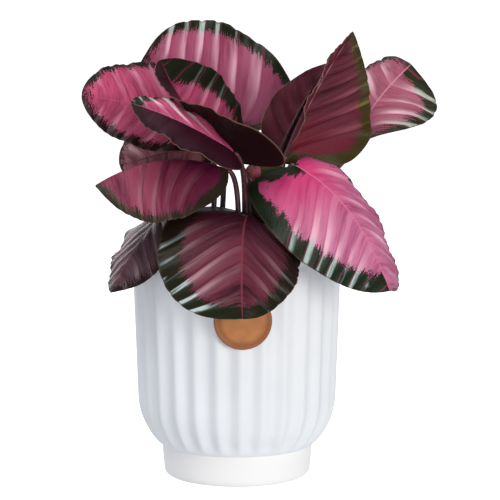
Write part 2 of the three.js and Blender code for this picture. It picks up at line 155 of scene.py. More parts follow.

# One entry a leaf, with the same numbers as its solid and then its looks. In each half, veins says how far
# its side veins sweep towards the tip, bands how strongly the pale bands between them show, edge how many
# millimetres wide the dark margin is, at even steps from the base to the tip, and shade how far painted shade
# darkens the half, at such steps. The last lines of an entry are the colours of its upper side, heart the one
# near the base and rib the midrib's. The pale bands are partly the leaf's own feathering and partly painted
# sheen, and the stripe colour on the margin is painted sheen. Each leaf's colours are its own tones with some
# painted light in them too: darker on leaves in shade, greyer where a sheen lies on them.
LEAVES = {
    "leaf_back_top": dict(
        base=(11, 37, 224.5), tip=(-67.2, 58, 267), bend=(3, 6, -1), face=(0.1, -1, 0.3),
        left=dict(width=42, full=(0.38, 0.42), fold=(0, 0), curl=-10, lobe=6,
                  veins=1.0, bands=0.8, edge=(4, 5, 4), shade=(0.1, 0.0)),
        right=dict(width=57, full=(0.36, 0.34), fold=(2, 6), curl=-10, lobe=38,
                   veins=1.2, bands=0.9, edge=(6, 9, 3), shade=(0.0, 0.0)),
        root=(14, 10), wave=1.8,
        pink="#94405c", pale="#cc98a9", deep="#6c2440", heart="#682440", rib="#94405c",
        margin="#141a0c", stripe="#a0aca6",
    ),
    "leaf_far_left": dict(
        base=(-16, 12, 230), tip=(-101, -6, 252), bend=(0, 0, 2), face=(0.1, -1, 0.9),
        left=dict(width=33, full=(0.5, 0.5), fold=(10, 10), curl=-25, lobe=0,
                  veins=0.8, bands=0.35, edge=(6, 6, 5), shade=(0.6, 0.1)),
        right=dict(width=38, full=(0.5, 0.56), fold=(10, 10), curl=-22, lobe=0,
                   veins=0.8, bands=0.45, edge=(5, 5, 4), shade=(0.1, 0.0)),
        root=(-11, 2), wave=1.6,
        pink="#bc4c70", pale="#d898ac", deep="#8c284a", heart="#a83a58", rib="#a84a68",
        margin="#1a150f", stripe="#6e6860",
    ),
    "leaf_upper_folded": dict(
        base=(1, -10, 208), tip=(-50, -1, 274.6), bend=(-4, 0, -4), face=(0.76, -0.25, 0.62),
        left=dict(width=42, full=(0.42, 0.68), fold=(76, -14), curl=0, lobe=66,
                  veins=1.0, bands=0.4, edge=(8, 12, 20), shade=(0.9, 0.97)),
        right=dict(width=48, full=(0.45, 0.6), fold=(6, 40), curl=0, lobe=10,
                   veins=1.2, bands=0.45, edge=(8, 14, 20), shade=(0.0, 0.1)),
        root=(8, -9), wave=1.4,
        pink="#a03c5e", pale="#c88ca0", deep="#6c1e3a", heart="#541a30", rib="#8c2e4c",
        margin="#131a0b", stripe="#8a978e",
    ),
    "leaf_centre_left": dict(
        base=(-2, -37, 217.9), tip=(-66.5, -58, 250), bend=(0, 0, 3), face=(0.43, -0.2, 0.88),
        left=dict(width=34, full=(0.36, 0.4), fold=(-8, -8), curl=-2, lobe=22,
                  veins=1.0, bands=0.35, edge=(3, 4, 8), shade=(1.0, 0.96)),
        right=dict(width=23, full=(0.8, 0.7), fold=(8, 8), curl=2, lobe=0,
                   veins=1.2, bands=0.9, edge=(0.6, 2, 10), shade=(0.0, 0.0)),
        root=(4.5, -15.5), wave=1.4,
        pink="#b84c72", pale="#e6bac6", deep="#862a4a", heart="#a03860", rib="#d0789a",
        margin="#1a2016", stripe="#a6b0a8",
    ),
    "leaf_upright_right": dict(
        base=(31, 5, 206.5), tip=(77, 28, 292), bend=(-5, 0, -1.5), face=(0.25, -1, 0.1),
        left=dict(width=32, full=(0.5, 0.7), fold=(82, 68), curl=0, lobe=4,
                  veins=1.0, bands=0.8, edge=(2, 2, 2), shade=(0.1, 0.0)),
        right=dict(width=49.5, full=(0.6, 0.86), fold=(0, 0), curl=-12, lobe=-2,
                   veins=3.0, bands=0.6, edge=(8, 8, 5), shade=(0.0, 0.1)),
        root=(23, -2), wave=1.6,
        pink="#5c1a2c", pale="#8c4e5c", deep="#340b16", heart="#6c1628", rib="#b86e7c",
        margin="#38300f", stripe="#6a602a",
    ),
    "leaf_dark_back": dict(
        base=(28, 25, 211), tip=(61, 30, 271.2), bend=(-2, 0, 0), face=(0.25, 0.95, 0.1),
        left=dict(width=27, full=(0.5, 0.68), fold=(10, 10), curl=0, lobe=0,
                  veins=1.0, bands=0.6, edge=(3, 3, 3), shade=(0.0, 0.0)),
        right=dict(width=22, full=(0.5, 0.9), fold=(10, 10), curl=0, lobe=0,
                   veins=1.0, bands=0.6, edge=(3, 3, 3), shade=(0.0, 0.0)),
        root=(18, 12), wave=1.6,
        pink="#a84a6e", pale="#c98aa2", deep="#7f2c4d", heart="#7f2c4d", rib="#a05068",
        margin="#33342a", stripe="#7d8a7e",
    ),
    "leaf_far_right": dict(
        base=(76, 34, 212), tip=(118, 60, 269), bend=(-5, 0, 1), face=(0.1, -1, 0.3),
        left=dict(width=27, full=(0.6, 0.35), fold=(-32, -32), curl=0, lobe=0,
                  veins=1.0, bands=0.8, edge=(2, 2, 4), shade=(0.0, 0.0)),
        right=dict(width=36, full=(1.25, 0.32), fold=(0, 0), curl=-10, lobe=-10,
                   veins=2.2, bands=0.9, edge=(3, 7, 11), shade=(0.0, 0.0)),
        root=(29, 7), wave=1.6,
        pink="#9e5468", pale="#d0aeb8", deep="#7c3449", heart="#7c3449", rib="#bc8290",
        margin="#232716", stripe="#abb2a4",
    ),
    "leaf_front_right": dict(
        base=(38, -15, 207), tip=(96, -80, 134), bend=(5, -6, 10), face=(0.1, -0.8, 0.6),
        left=dict(width=22, full=(0.18, 0.15), fold=(6, -36), curl=-30, lobe=12,
                  veins=0.8, bands=0.45, edge=(0.8, 0.8, 0.8), shade=(0.0, 0.0)),
        right=dict(width=49, full=(0.36, 0.5), fold=(0, 0), curl=-14, lobe=46,
                   veins=2.7, bands=0.65, edge=(10, 13, 12), shade=(0.0, 0.0)),
        root=(21, -12), wave=1.2,
        pink="#b66888", pale="#dfb6c3", deep="#8a3a5e", heart="#bc2460", rib="#c0687e",
        margin="#172012", stripe="#a2b0aa",
    ),
    "leaf_front": dict(
        base=(8, -25, 176), tip=(4, -104, 120), bend=(-2, -6, 16), face=(0, -0.6, 0.8),
        left=dict(width=41, full=(0.6, 0.5), fold=(-18, -18), curl=-16, lobe=6,
                  veins=2.2, bands=0.4, edge=(6, 11, 7), shade=(0.9, 0.5, 0.1)),
        right=dict(width=53.5, full=(0.5, 0.35), fold=(14, -2), curl=-12, lobe=14,
                   veins=2.4, bands=0.95, edge=(12, 16, 8), shade=(0.8, 0.2, 0.0)),
        root=(10, -19), wave=1.6,
        pink="#6a2a3c", pale="#a98288", deep="#330c1a", heart="#30071a", rib="#74303e",
        margin="#161e0b", stripe="#b6c4c2",
    ),
    "leaf_left_hanging": dict(
        base=(-6, -24, 205), tip=(-89, -58, 198), bend=(0, -2, 11), face=(-0.2, -0.75, 0.7),
        left=dict(width=46, full=(0.58, 0.34), fold=(0, 0), curl=-20, lobe=18,
                  veins=1.8, bands=0.45, edge=(7, 5, 5), shade=(0.5, 0.05)),
        right=dict(width=36, full=(0.42, 0.5), fold=(-60, -60), curl=-20, lobe=0,
                   veins=0.9, bands=0.9, edge=(3, 5, 8), shade=(0.5, 0.15)),
        root=(1, -20), wave=2,
        pink="#903c54", pale="#b4818e", deep="#5c1832", heart="#701444", rib="#7c2a4a",
        margin="#2c301f", stripe="#8e947f",
    ),
    "leaf_left_back": dict(
        base=(-21, 7.5, 215.5), tip=(-76, -8, 205), bend=(0, 0, 3), face=(0.1, -1, 0.4),
        left=dict(width=32, full=(0.5, 0.45), fold=(0, 0), curl=-10, lobe=0,
                  veins=1.2, bands=0.9, edge=(2, 2, 2), shade=(0.1, 0.0)),
        right=dict(width=25, full=(0.5, 0.6), fold=(0, 0), curl=-10, lobe=0,
                   veins=1.2, bands=0.9, edge=(2, 2, 2), shade=(0.1, 0.0)),
        root=(-17, -3), wave=1.6,
        pink="#d08c98", pale="#ecced4", deep="#804450", heart="#804450", rib="#8a5864",
        margin="#35222a", stripe="#8f737b",
    ),
    "leaf_low_left": dict(
        base=(-41, -12, 183), tip=(-80, -55, 129), bend=(-2, -3, 3), face=(-1, -0.6, 0.5),
        left=dict(width=27, full=(1.1, 1.0), fold=(18, -52), curl=-10, lobe=0,
                  veins=1.6, bands=0.7, edge=(3, 4, 4), shade=(0.5, 0.1)),
        right=dict(width=34, full=(0.28, 0.75), fold=(0, 0), curl=-10, lobe=10,
                   veins=1.6, bands=0.9, edge=(2, 2.5, 3), shade=(0.1, 0.0)),
        root=(-15, -12), wave=1.6,
        pink="#654850", pale="#a08a8e", deep="#43272f", heart="#3a1f28", rib="#6e464e",
        margin="#1c1914", stripe="#6f6762",
    ),
    "leaf_small_crown": dict(
        base=(15, -2, 167), tip=(15, -5, 207.5), bend=(1, 0, 0), face=(-0.2, -1, 0.2),
        left=dict(width=11, full=(0.4, 0.2), fold=(0, 0), curl=0, lobe=0,
                  veins=1.0, bands=0.3, edge=(4, 5, 2), shade=(0.0, 0.0)),
        right=dict(width=17, full=(0.6, 0.22), fold=(0, 0), curl=0, lobe=0,
                   veins=1.0, bands=0.3, edge=(9, 12, 9), shade=(0.1, 0.1)),
        root=(14, 0), wave=0.6,
        pink="#a04a60", pale="#b87080", deep="#7a3444", heart="#3a3f1c", rib="#5a5a2c",
        margin="#2c3516", stripe="#56642f",
    ),
}


# Colours and nodes

def linear(hex_code):
    """An sRGB hex colour as a linear colour with alpha."""
    code = hex_code.lstrip("#")
    shares = [int(code[k:k + 2], 16) / 255 for k in (0, 2, 4)]
    return (*[c / 12.92 if c <= 0.04045 else ((c + 0.055) / 1.055) ** 2.4 for c in shares], 1.0)


def toned(colour, share):
    """A linear colour made darker or lighter."""
    return (*[min(1, share * c) for c in colour[:3]], 1)


def scale_for(size):
    """The scale of a pattern whose marks are this many millimetres across."""
    return 1 / (size * MM)


def add_node(tree, kind, inputs=None, **settings):
    """Adds a node with its settings. An input is a value, a socket to link from, or a node, which is linked
    from its first output."""
    node = tree.nodes.new(kind)
    for name, value in settings.items():
        setattr(node, name, value)
    for name, value in (inputs or {}).items():
        if isinstance(value, bpy.types.Node):
            value = value.outputs[0]
        if isinstance(value, bpy.types.NodeSocket):
            tree.links.new(value, node.inputs[name])
        else:
            node.inputs[name].default_value = value
    return node


def new_material(name):
    """A material and its empty node tree."""
    material = bpy.data.materials.new(name)
    material.use_nodes = True
    material.node_tree.nodes.clear()
    return material, material.node_tree


def finish_material(tree, shader):
    """Adds the output, and lays the nodes out in rows."""
    add_node(tree, "ShaderNodeOutputMaterial", {"Surface": shader})
    for k, node in enumerate(tree.nodes):
        row, column = divmod(k, NODES_IN_A_ROW)
        node.location = (NODE_SPACING[0] * column, -NODE_SPACING[1] * row)


def set_ramp(node, stops):
    """Gives a colour ramp its stops, each a position and a linear colour."""
    elements = node.color_ramp.elements
    while len(elements) > 1:
        elements.remove(elements[-1])
    elements[0].position, elements[0].color = stops[0]
    for position, colour in stops[1:]:
        elements.new(position).color = colour


# Materials

def glazed_ceramic(colour, foot_colour):
    """Stoneware under a thin satin white glaze, wiped off the foot. The eye gets soft broad highlights along
    the flutes, a faint unevenness where the glaze pooled, and a plainer, warmer foot."""
    material, tree = new_material("satin glazed stoneware")
    place = add_node(tree, "ShaderNodeTexCoord").outputs["Object"]
    # Patches about 22 mm across, where the glaze pooled
    pooled = add_node(tree, "ShaderNodeTexNoise", {
        "Vector": place, "Scale": scale_for(22.2), "Detail": 2.0, "Roughness": 0.5,
    })
    tint = add_node(tree, "ShaderNodeValToRGB", {"Fac": pooled})
    set_ramp(tint, [(0.3, toned(colour, 0.97)), (0.7, toned(colour, 1))])
    gloss = add_node(tree, "ShaderNodeMapRange", {
        "Value": pooled, "From Min": 0.3, "From Max": 0.7, "To Min": 0.42, "To Max": 0.5,
    })
    # The glaze ends in a soft line at the top of the foot
    parts = add_node(tree, "ShaderNodeSeparateXYZ", {0: place})
    on_body = add_node(tree, "ShaderNodeMapRange", {
        "Value": parts.outputs["Z"], "From Min": (FOOT_TOP - 0.4) * MM, "From Max": (FOOT_TOP + 0.2) * MM,
    })
    skin = add_node(tree, "ShaderNodeMix", {
        "Factor": on_body, COLOUR_A: foot_colour, COLOUR_B: tint,
    }, data_type="RGBA")
    # Fine orange peel of the glaze
    peel = add_node(tree, "ShaderNodeTexNoise", {"Vector": place, "Scale": scale_for(1.54), "Detail": 1.0})
    bump = add_node(tree, "ShaderNodeBump", {"Height": peel, "Strength": 0.12, "Distance": 0.1 * MM})
    shader = add_node(tree, "ShaderNodeBsdfPrincipled", {
        "Base Color": skin.outputs[MIXED], "Roughness": gloss, "Metallic": 0.0, "IOR": 1.5, "Normal": bump,
    })
    finish_material(tree, shader)
    return material


def potting_mix(colour):
    """Damp peat in clods, with fine grit. The eye gets a dark crumbly ground with no shine."""
    material, tree = new_material("damp potting mix")
    place = add_node(tree, "ShaderNodeTexCoord").outputs["Object"]
    # Clods about 3 mm across, and grit of about 1 mm
    clods = add_node(tree, "ShaderNodeTexNoise", {
        "Vector": place, "Scale": scale_for(3.125), "Detail": 6.0, "Roughness": 0.7,
    })
    grit = add_node(tree, "ShaderNodeTexVoronoi", {"Vector": place, "Scale": scale_for(1.11)})
    tint = add_node(tree, "ShaderNodeValToRGB", {"Fac": clods})
    set_ramp(tint, [(0.3, toned(colour, 0.35)), (0.55, toned(colour, 1)), (0.75, toned(colour, 1.7))])
    height = add_node(tree, "ShaderNodeMath", {0: clods, 1: grit}, operation="ADD")
    bump = add_node(tree, "ShaderNodeBump", {"Height": height, "Strength": 0.9, "Distance": 1.5 * MM})
    shader = add_node(tree, "ShaderNodeBsdfPrincipled", {
        "Base Color": tint, "Roughness": 0.95, "Normal": bump,
    })
    finish_material(tree, shader)
    return material


def soil_bit(name, dark, light, roughness, grain_size):
    """A loose bit in the mix, mottled by its grain. The eye gets flecks of bark and peat and pale expanded
    perlite on the dark ground."""
    material, tree = new_material(name)
    place = add_node(tree, "ShaderNodeTexCoord").outputs["Object"]
    grain = add_node(tree, "ShaderNodeTexNoise", {
        "Vector": place, "Scale": scale_for(grain_size), "Detail": 4.0,
    })
    tint = add_node(tree, "ShaderNodeValToRGB", {"Fac": grain})
    set_ramp(tint, [(0.35, linear(dark)), (0.65, linear(light))])
    bump = add_node(tree, "ShaderNodeBump", {"Height": grain, "Strength": 0.6, "Distance": 0.4 * MM})
    shader = add_node(tree, "ShaderNodeBsdfPrincipled", {
        "Base Color": tint, "Roughness": roughness, "Normal": bump,
    })
    finish_material(tree, shader)
    return material


def vegetable_tanned_leather(colour, edge_colour):
    """Undyed vegetable-tanned leather, die cut and stamped. The eye gets a warm tan with fine pebbled grain,
    soft blotches where it took the oil, and a cut edge browned by burnishing."""
    material, tree = new_material("vegetable-tanned leather")
    place = add_node(tree, "ShaderNodeTexCoord").outputs["Object"]
    blotch = add_node(tree, "ShaderNodeTexNoise", {"Vector": place, "Scale": scale_for(7.7), "Detail": 3.0})
    tint = add_node(tree, "ShaderNodeValToRGB", {"Fac": blotch})
    set_ramp(tint, [(0.3, toned(colour, 0.84)), (0.55, toned(colour, 1)), (0.75, toned(colour, 1.1))])
    edge = add_node(tree, "ShaderNodeAttribute", attribute_name="burnish")
    worn = add_node(tree, "ShaderNodeMix", {
        "Factor": edge.outputs["Fac"], COLOUR_A: tint, COLOUR_B: edge_colour,
    }, data_type="RGBA")
    # Pores about 0.5 mm apart
    pores = add_node(tree, "ShaderNodeTexVoronoi", {
        "Vector": place, "Scale": scale_for(0.526),
    }, feature="SMOOTH_F1")
    bump = add_node(tree, "ShaderNodeBump", {"Height": pores, "Strength": 0.35, "Distance": 0.2 * MM})
    shader = add_node(tree, "ShaderNodeBsdfPrincipled", {
        "Base Color": worn.outputs[MIXED], "Roughness": 0.58, "Normal": bump,
    })
    finish_material(tree, shader)
    return material


def leaf_coordinates(tree, seed):
    """What every side of a leaf reads: the share along it that counts its veins, the share across its half, a
    noise in bands and one in fine streaks along the side veins, and the leaf's own looks, which are the
    strength of its bands, the distance in millimetres past the line of its margin, and how far painted shade
    darkens it."""
    leaf_map = add_node(tree, "ShaderNodeUVMap", uv_map="leaf_map")
    parts = add_node(tree, "ShaderNodeSeparateXYZ", {0: leaf_map})
    signed = add_node(tree, "ShaderNodeMath", {
        0: parts.outputs["X"], 1: 2.0, 2: -1.0,
    }, operation="MULTIPLY_ADD")
    across = add_node(tree, "ShaderNodeMath", {0: signed}, operation="ABSOLUTE")
    on_leaf = add_node(tree, "ShaderNodeCombineXYZ", {
        "X": signed, "Y": parts.outputs["Y"], "Z": 5.3 * seed,
    })
    looks = add_node(tree, "ShaderNodeAttribute", attribute_name="looks")
    looks = add_node(tree, "ShaderNodeSeparateXYZ", {0: looks.outputs["Vector"]})
    at = {
        "along": parts.outputs["Y"], "across": across,
        "bands": looks.outputs["X"], "margin": looks.outputs["Y"], "shade": looks.outputs["Z"],
    }
    # About 10 bands along a blade, each right across a half, and 75 streaks, each a third of the way across
    for key, stretch, detail in (("band", (0.9, 10.0, 1.0), 2.0), ("streak", (3.4, 75.0, 1.0), 4.0)):
        stretched = add_node(tree, "ShaderNodeVectorMath", {0: on_leaf, 1: stretch}, operation="MULTIPLY")
        at[key] = add_node(tree, "ShaderNodeTexNoise", {
            "Vector": stretched, "Scale": 1.0, "Detail": detail, "Roughness": 0.6,
        })
    return at


def upper_leaf(name, leaf, seed, veins):
    """The upper side of a living calathea blade: waxy, satin, and marked along its side veins. The eye gets a
    pink middle in bands of light and deep pink, a feathered edge to it, and a dark green margin with pale
    stripes. The pale bands in the pink are partly the leaf's own feathering and partly painted sheen, and the
    margin's pale stripes are painted sheen."""
    material, tree = new_material("living leaf, upper side, " + name)
    at = leaf_coordinates(tree, seed)
    # Clusters of the skin's cells, drawn about 0.8 mm across so that they show
    place = add_node(tree, "ShaderNodeTexCoord").outputs["Object"]
    cells = add_node(tree, "ShaderNodeTexNoise", {"Vector": place, "Scale": scale_for(0.8), "Detail": 1.0})
    # Each sum starts from its first value, and adds the others by their weights
    sums = {}
    for key, total, terms in (
        # Counts the side veins, which waver a little
        ("beat", 0.0, ((at["band"], 0.55), (at["along"], float(veins)))),
        ("mottle", 0.0, ((at["streak"], 0.7), (at["band"], 0.8))),
        ("from base", at["along"], ((at["across"], 0.45),)),
        # Millimetres past the line where the margin begins, which is torn into dots and streaks
        ("past", -16.5, ((at["streak"], 20.0), (cells, 7.0), (at["band"], 6.0), (at["margin"], -1.0))),
        ("relief", cells, ((at["streak"], 1.6),)),
    ):
        for value, weight in terms:
            inputs = {0: value, 1: weight, 2: total}
            total = add_node(tree, "ShaderNodeMath", inputs, operation="MULTIPLY_ADD")
        sums[key] = total
    between = add_node(tree, "ShaderNodeMath", {0: sums["beat"]}, operation="FRACT")
    # What each share reads, the stretch of it that counts, and the share at the stretch's start and end
    shares = {}
    for key, value, start, end, first, last, way in (
        # A pale stripe, partly the leaf's own feathering and partly painted sheen, is faint near the midrib
        # and strongest near the margin, and no two are alike
        ("outer", at["across"], 0.06, 0.6, 0.12, 1.0, "SMOOTHSTEP"),
        ("each", at["band"], 0.38, 0.6, 0.2, 1.2, "LINEAR"),
        # The first and the last stretch of the blade have none
        ("past base", at["along"], 0.03, 0.12, 0.0, 1.0, "SMOOTHSTEP"),
        ("before tip", at["along"], 0.99, 0.93, 0.0, 1.0, "SMOOTHSTEP"),
        # On the margin the stripes, which are painted sheen, are broken into streaks
        ("broken", at["streak"], 0.35, 0.6, 0.45, 1.0, "LINEAR"),
        ("pink", sums["mottle"], 0.5, 0.85, 0.0, 1.0, "LINEAR"),
        ("heart", sums["from base"], 0.1, 0.6, 0.85, 0.0, "SMOOTHSTEP"),
        ("margin", sums["past"], -0.8, 0.8, 0.0, 1.0, "SMOOTHSTEP"),
        # A thin dark line beside each side vein
        ("vein", between, 0.0, 0.1, 0.6, 0.0, "LINEAR"),
        # About 1.2 mm wide in all
        ("midrib", at["across"], 0.006, 0.022, 0.85, 0.0, "LINEAR"),
        ("rim", at["across"], 0.972, 0.99, 0.0, 0.7, "LINEAR"),
    ):
        shares[key] = add_node(tree, "ShaderNodeMapRange", {
            "Value": value, "From Min": start, "From Max": end, "To Min": first, "To Max": last,
        }, interpolation_type=way)
    # From one side vein to the next a pale stripe, partly feathering and partly painted sheen, rises fast and
    # dies away slowly
    stripe = add_node(tree, "ShaderNodeValToRGB", {"Fac": between})
    rises = [(0.0, 0.0), (0.05, 0.15), (0.14, 1.0), (0.36, 0.85), (0.55, 0.2), (0.85, 0.04), (1.0, 0.0)]
    set_ramp(stripe, [(position, (grey, grey, grey, 1)) for position, grey in rises])
    strength = stripe
    for share in (at["bands"], shares["each"], shares["past base"], shares["before tip"]):
        strength = add_node(tree, "ShaderNodeMath", {0: strength, 1: share}, operation="MULTIPLY")
    pale = add_node(tree, "ShaderNodeMath", {
        0: strength, 1: shares["outer"],
    }, operation="MULTIPLY", use_clamp=True)
    # Painted sheen on the margin, where the stripes are strongest, in the stripe colour
    margin_sheen = add_node(tree, "ShaderNodeMapRange", {
        "Value": strength, "From Min": 0.25, "From Max": 0.85, "To Min": 0.0, "To Max": 1.15,
    }, interpolation_type="SMOOTHSTEP")
    margin_sheen = add_node(tree, "ShaderNodeMath", {
        0: margin_sheen, 1: shares["broken"],
    }, operation="MULTIPLY", use_clamp=True)
    margin = add_node(tree, "ShaderNodeMix", {
        "Factor": margin_sheen, COLOUR_A: linear(leaf["margin"]), COLOUR_B: linear(leaf["stripe"]),
    }, data_type="RGBA")
    # From the deep pink up, each colour covers its share of what lies under it
    blade = linear(leaf["deep"])
    for share, colour in (
        (shares["pink"], linear(leaf["pink"])),
        # The pale bands: partly the leaf's own feathering, partly painted sheen
        (pale, linear(leaf["pale"])),
        (shares["heart"], linear(leaf["heart"])),
        (shares["margin"], margin.outputs[MIXED]),
        (shares["vein"], linear(leaf["deep"])),
        # Painted shade, which darkens the half towards maroon as far as its shade says
        (at["shade"], linear(PAINTED_SHADE_MAROON)),
        (shares["midrib"], linear(leaf["rib"])),
        (shares["rim"], linear(UPPER_RIM)),
    ):
        blade = add_node(tree, "ShaderNodeMix", {
            "Factor": share, COLOUR_A: blade, COLOUR_B: colour,
        }, data_type="RGBA").outputs[MIXED]
    # The green margin is the glossier
    gloss = add_node(tree, "ShaderNodeMapRange", {"Value": shares["margin"], "To Min": 0.42, "To Max": 0.3})
    bump = add_node(tree, "ShaderNodeBump", {
        "Height": sums["relief"], "Strength": 0.5, "Distance": 0.25 * MM,
    })
    shader = add_node(tree, "ShaderNodeBsdfPrincipled", {
        "Base Color": blade, "Roughness": gloss, "IOR": 1.45, "Specular IOR Level": 0.12, "Normal": bump,
    })
    finish_material(tree, shader)
    return material


def under_leaf(colour, seed, veins):
    """The underside of the blade: burgundy, with a dull silk sheen. The eye gets a dark even red that lifts
    to mauve at a glancing angle, and raised veins."""
    material, tree = new_material("living leaf, underside")
    at = leaf_coordinates(tree, seed)
    beat = add_node(tree, "ShaderNodeMath", {0: at["along"], 1: float(veins)}, operation="MULTIPLY")
    between = add_node(tree, "ShaderNodeMath", {0: beat, 1: 0.5}, operation="PINGPONG")
    vein = add_node(tree, "ShaderNodeMapRange", {
        "Value": between, "From Min": 0.0, "From Max": 0.06, "To Min": 0.35, "To Max": 0.0,
    }, interpolation_type="SMOOTHSTEP")
    rim = add_node(tree, "ShaderNodeMapRange", {
        "Value": at["across"], "From Min": 0.965, "From Max": 0.985, "To Min": 0.0, "To Max": 0.7,
    })
    tint = add_node(tree, "ShaderNodeValToRGB", {"Fac": at["band"]})
    light = toned(colour, 1.6)
    set_ramp(tint, [(0.3, toned(colour, 0.65)), (0.5, toned(colour, 1)), (0.75, light)])
    blade = tint
    for share, cover in (
        (vein, light),
        # Painted shade on the underside, as far as the half's shade says
        (at["shade"], linear(PAINTED_SHADE_UNDERSIDE)),
        (rim, linear(UNDER_RIM)),
    ):
        blade = add_node(tree, "ShaderNodeMix", {
            "Factor": share, COLOUR_A: blade, COLOUR_B: cover,
        }, data_type="RGBA").outputs[MIXED]
    bump = add_node(tree, "ShaderNodeBump", {"Height": vein, "Strength": 0.5, "Distance": 0.6 * MM})
    shader = add_node(tree, "ShaderNodeBsdfPrincipled", {
        "Base Color": blade, "Roughness": 0.5, "IOR": 1.4, "Specular IOR Level": 0.15,
        "Sheen Weight": 0.06, "Sheen Roughness": 0.4, "Sheen Tint": linear("#c79aa8"), "Normal": bump,
    })
    finish_material(tree, shader)
    return material


def leaf_stalk():
    """A living stalk, smooth and juicy. The eye gets a dark red cord, greener and paler in streaks."""
    material, tree = new_material("living leaf stalk")
    place = add_node(tree, "ShaderNodeTexCoord").outputs["Object"]
    # Streaks about 1.1 mm wide and 22 mm long
    stretch = add_node(tree, "ShaderNodeVectorMath", {
        0: place, 1: (scale_for(1.11), scale_for(1.11), scale_for(22.2)),
    }, operation="MULTIPLY")
    streaks = add_node(tree, "ShaderNodeTexNoise", {"Vector": stretch, "Scale": 1.0, "Detail": 3.0})
    tint = add_node(tree, "ShaderNodeValToRGB", {"Fac": streaks})
    set_ramp(tint, [(0.3, linear("#2c0f17")), (0.6, linear("#4a1c28")), (0.85, linear("#6a4436"))])
    bump = add_node(tree, "ShaderNodeBump", {"Height": streaks, "Strength": 0.4, "Distance": 0.2 * MM})
    shader = add_node(tree, "ShaderNodeBsdfPrincipled", {
        "Base Color": tint, "Roughness": 0.42, "Normal": bump,
    })
    finish_material(tree, shader)
    return material


def studio_white(glow, bounce):
    """Seamless paper, lit until it is all but white. The eye gets a plain ground with a faint shadow, and the
    object gets a weaker bounce from it."""
    material, tree = new_material("seamless studio paper")
    ray = add_node(tree, "ShaderNodeLightPath")
    seen = add_node(tree, "ShaderNodeBsdfPrincipled", {
        "Base Color": linear("#f4f4f4"), "Roughness": 0.9, "Specular IOR Level": 0.0,
        "Emission Color": (1, 1, 1, 1), "Emission Strength": glow,
    })
    felt = add_node(tree, "ShaderNodeEmission", {"Color": linear("#f4f6fa"), "Strength": bounce})
    shader = add_node(tree, "ShaderNodeMixShader", {0: ray.outputs["Is Camera Ray"], 1: felt, 2: seen})
    finish_material(tree, shader)
    return material


# Shapes

def deselect_all():
    if bpy.context.mode != "OBJECT":
        bpy.ops.object.mode_set(mode="OBJECT")
    bpy.ops.object.select_all(action="DESELECT")


def activate(obj):
    deselect_all()
    obj.select_set(True)
    bpy.context.view_layer.objects.active = obj


def edit_all(obj):
    """Opens a piece in edit mode, with all of it selected."""
    activate(obj)
    bpy.ops.object.mode_set(mode="EDIT")
    bpy.ops.mesh.select_all(action="SELECT")


def join(pieces):
    """Joins the pieces into the first of them."""
    deselect_all()
    for piece in pieces:
        piece.select_set(True)
    bpy.context.view_layer.objects.active = pieces[0]
    bpy.ops.object.join()
    return pieces[0]


def settle(obj, node):
    """Puts a finished piece's place into its mesh, hangs it from the root body, and hides the solid of the
    node that it stands for.
    """
    activate(obj)
    bpy.ops.object.transform_apply(location=True, rotation=True, scale=True)
    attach(obj, "root")
    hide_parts(node)


def select_vertices(obj, test):
    """In edit mode, selects the vertices whose place passes the test, and what lies between them."""
    mesh = bmesh.from_edit_mesh(obj.data)
    for vertex in mesh.verts:
        vertex.select = bool(test(vertex.co))
    mesh.select_mode = {"VERT"}
    mesh.select_flush_mode()
    mesh.select_flush(True)
    bmesh.update_edit_mesh(obj.data)


def crest_radius(z, rim_radius, rim_height):
    """Radius of the pot's outside along the crests of its flutes, in millimetres."""
    if z >= BELLY_HEIGHT:
        share = (z - BELLY_HEIGHT) / (rim_height - BELLY_HEIGHT)
        return BELLY_RADIUS + share * (rim_radius - BELLY_RADIUS)
    rise = BELLY_HEIGHT - z
    return BELLY_RADIUS - BELLY_CURVE + math.sqrt(BELLY_CURVE ** 2 - rise ** 2)


def smooth_share(x, low, high):
    """How far x is from low to high, eased at both ends."""
    share = min(1, max(0, (x - low) / (high - low)))
    return share * share * (3 - 2 * share)


def midrib_at(leaf, s):
    """Points of the midrib and the directions along it, for an array of shares s."""
    base, tip, bend = (np.array(leaf[key], float) for key in ("base", "tip", "bend"))
    control = (base + tip) / 2 + 2 * bend
    s = np.asarray(s, float)[..., None]
    point = (1 - s) ** 2 * base + 2 * s * (1 - s) * control + s ** 2 * tip
    along = 2 * (1 - s) * (control - base) + 2 * s * (tip - control)
    return point, along / np.linalg.norm(along, axis=-1, keepdims=True)


def out_of(leaf, along):
    """Direction out of the upper side, square to the midrib."""
    face = np.array(leaf["face"], float)
    out = face - (along @ face)[..., None] * along
    return out / np.linalg.norm(out, axis=-1, keepdims=True)


def outline_share(start, end, s):
    """Width of a half at s, as a share of its widest. Low powers make an end full, and high ones slim."""
    widest = start / (start + end)
    most = widest ** start * (1 - widest) ** end
    return np.clip(s, 0, 1) ** start * np.clip(1 - s, 0, 1) ** end / most


def for_halves(leaf, t, key, k=None):
    """A leaf's number for the half that each place lies in."""
    left, right = leaf["left"][key], leaf["right"][key]
    return np.where(t > 0, right, left) if k is None else np.where(t > 0, right[k], left[k])


def along_blade(leaf, t, u, key):
    """A half's numbers, given at even steps from base to tip, read at each place."""
    left, right = (
        np.interp(u, np.linspace(0, 1, len(leaf[half][key])), leaf[half][key]) for half in ("left", "right")
    )
    return np.where(t > 0, right, left)


